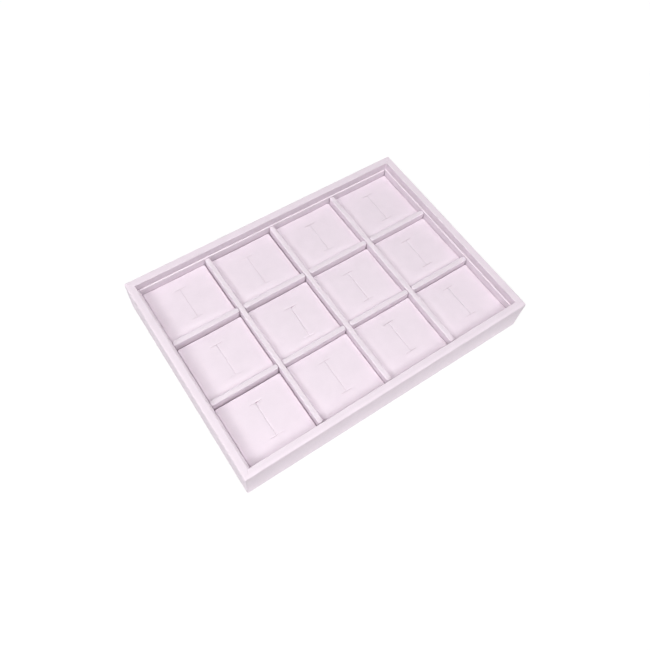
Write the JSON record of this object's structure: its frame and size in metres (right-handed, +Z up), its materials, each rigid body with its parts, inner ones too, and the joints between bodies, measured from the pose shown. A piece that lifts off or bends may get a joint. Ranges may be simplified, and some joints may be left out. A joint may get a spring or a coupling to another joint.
{
  "type": "display tray",
  "caption": "Shallow rectangular jewellery display tray wrapped in pale leatherette, with a grid of dividers and a lift-out padded card with an I-shaped slit in each cell.",
  "frame": {"origin": "middle of the underside, on the surface that the tray stands on", "axes": "+X along the long side, +Y from the front to the back, +Z up"},
  "size_m": [0.35, 0.25, 0.045],
  "materials": {
    "frame_board": "matte",
    "base_board": "matte",
    "bottom_lining": "matte",
    "tray_leatherette": "matte",
    "liner_leatherette": "matte",
    "divider_leatherette": "matte",
    "pad_leatherette": "matte",
    "pad_foam": "matte",
    "pad_board": "matte"
  },
  "bodies": {
    "tray": {"front_rail": "frame_board", "back_rail": "frame_board", "left_rail": "frame_board", "right_rail": "frame_board", "base_board": "base_board", "bottom_lining": "bottom_lining", "tray_cover": "tray_leatherette", "left_liner": "liner_leatherette", "right_liner": "liner_leatherette", "front_liner": "liner_leatherette", "back_liner": "liner_leatherette", "long_divider_1": "divider_leatherette", "long_divider_2": "divider_leatherette", "long_divider_3": "divider_leatherette", "short_divider_r1_c1": "divider_leatherette", "short_divider_r1_c2": "divider_leatherette", "short_divider_r1_c3": "divider_leatherette", "short_divider_r1_c4": "divider_leatherette", "short_divider_r2_c1": "divider_leatherette", "short_divider_r2_c2": "divider_leatherette", "short_divider_r2_c3": "divider_leatherette", "short_divider_r2_c4": "divider_leatherette"},
    "pad_r1_c1": {"pad_r1_c1_cover": "pad_leatherette", "pad_r1_c1_foam": "pad_foam", "pad_r1_c1_board": "pad_board"},
    "pad_r1_c2": {"pad_r1_c2_cover": "pad_leatherette", "pad_r1_c2_foam": "pad_foam", "pad_r1_c2_board": "pad_board"},
    "pad_r1_c3": {"pad_r1_c3_cover": "pad_leatherette", "pad_r1_c3_foam": "pad_foam", "pad_r1_c3_board": "pad_board"},
    "pad_r1_c4": {"pad_r1_c4_cover": "pad_leatherette", "pad_r1_c4_foam": "pad_foam", "pad_r1_c4_board": "pad_board"},
    "pad_r2_c1": {"pad_r2_c1_cover": "pad_leatherette", "pad_r2_c1_foam": "pad_foam", "pad_r2_c1_board": "pad_board"},
    "pad_r2_c2": {"pad_r2_c2_cover": "pad_leatherette", "pad_r2_c2_foam": "pad_foam", "pad_r2_c2_board": "pad_board"},
    "pad_r2_c3": {"pad_r2_c3_cover": "pad_leatherette", "pad_r2_c3_foam": "pad_foam", "pad_r2_c3_board": "pad_board"},
    "pad_r2_c4": {"pad_r2_c4_cover": "pad_leatherette", "pad_r2_c4_foam": "pad_foam", "pad_r2_c4_board": "pad_board"},
    "pad_r3_c1": {"pad_r3_c1_cover": "pad_leatherette", "pad_r3_c1_foam": "pad_foam", "pad_r3_c1_board": "pad_board"},
    "pad_r3_c2": {"pad_r3_c2_cover": "pad_leatherette", "pad_r3_c2_foam": "pad_foam", "pad_r3_c2_board": "pad_board"},
    "pad_r3_c3": {"pad_r3_c3_cover": "pad_leatherette", "pad_r3_c3_foam": "pad_foam", "pad_r3_c3_board": "pad_board"},
    "pad_r3_c4": {"pad_r3_c4_cover": "pad_leatherette", "pad_r3_c4_foam": "pad_foam", "pad_r3_c4_board": "pad_board"}
  },
  "joints": [
    {"name": "pad_r1_c1_lift", "type": "slide", "parent": "tray", "child": "pad_r1_c1", "axis": [0, 0, 1], "range_m": [0, 0.045]},
    {"name": "pad_r1_c2_lift", "type": "slide", "parent": "tray", "child": "pad_r1_c2", "axis": [0, 0, 1], "range_m": [0, 0.045]},
    {"name": "pad_r1_c3_lift", "type": "slide", "parent": "tray", "child": "pad_r1_c3", "axis": [0, 0, 1], "range_m": [0, 0.045]},
    {"name": "pad_r1_c4_lift", "type": "slide", "parent": "tray", "child": "pad_r1_c4", "axis": [0, 0, 1], "range_m": [0, 0.045]},
    {"name": "pad_r2_c1_lift", "type": "slide", "parent": "tray", "child": "pad_r2_c1", "axis": [0, 0, 1], "range_m": [0, 0.045]},
    {"name": "pad_r2_c2_lift", "type": "slide", "parent": "tray", "child": "pad_r2_c2", "axis": [0, 0, 1], "range_m": [0, 0.045]},
    {"name": "pad_r2_c3_lift", "type": "slide", "parent": "tray", "child": "pad_r2_c3", "axis": [0, 0, 1], "range_m": [0, 0.045]},
    {"name": "pad_r2_c4_lift", "type": "slide", "parent": "tray", "child": "pad_r2_c4", "axis": [0, 0, 1], "range_m": [0, 0.045]},
    {"name": "pad_r3_c1_lift", "type": "slide", "parent": "tray", "child": "pad_r3_c1", "axis": [0, 0, 1], "range_m": [0, 0.045]},
    {"name": "pad_r3_c2_lift", "type": "slide", "parent": "tray", "child": "pad_r3_c2", "axis": [0, 0, 1], "range_m": [0, 0.045]},
    {"name": "pad_r3_c3_lift", "type": "slide", "parent": "tray", "child": "pad_r3_c3", "axis": [0, 0, 1], "range_m": [0, 0.045]},
    {"name": "pad_r3_c4_lift", "type": "slide", "parent": "tray", "child": "pad_r3_c4", "axis": [0, 0, 1], "range_m": [0, 0.045]}
  ]
}
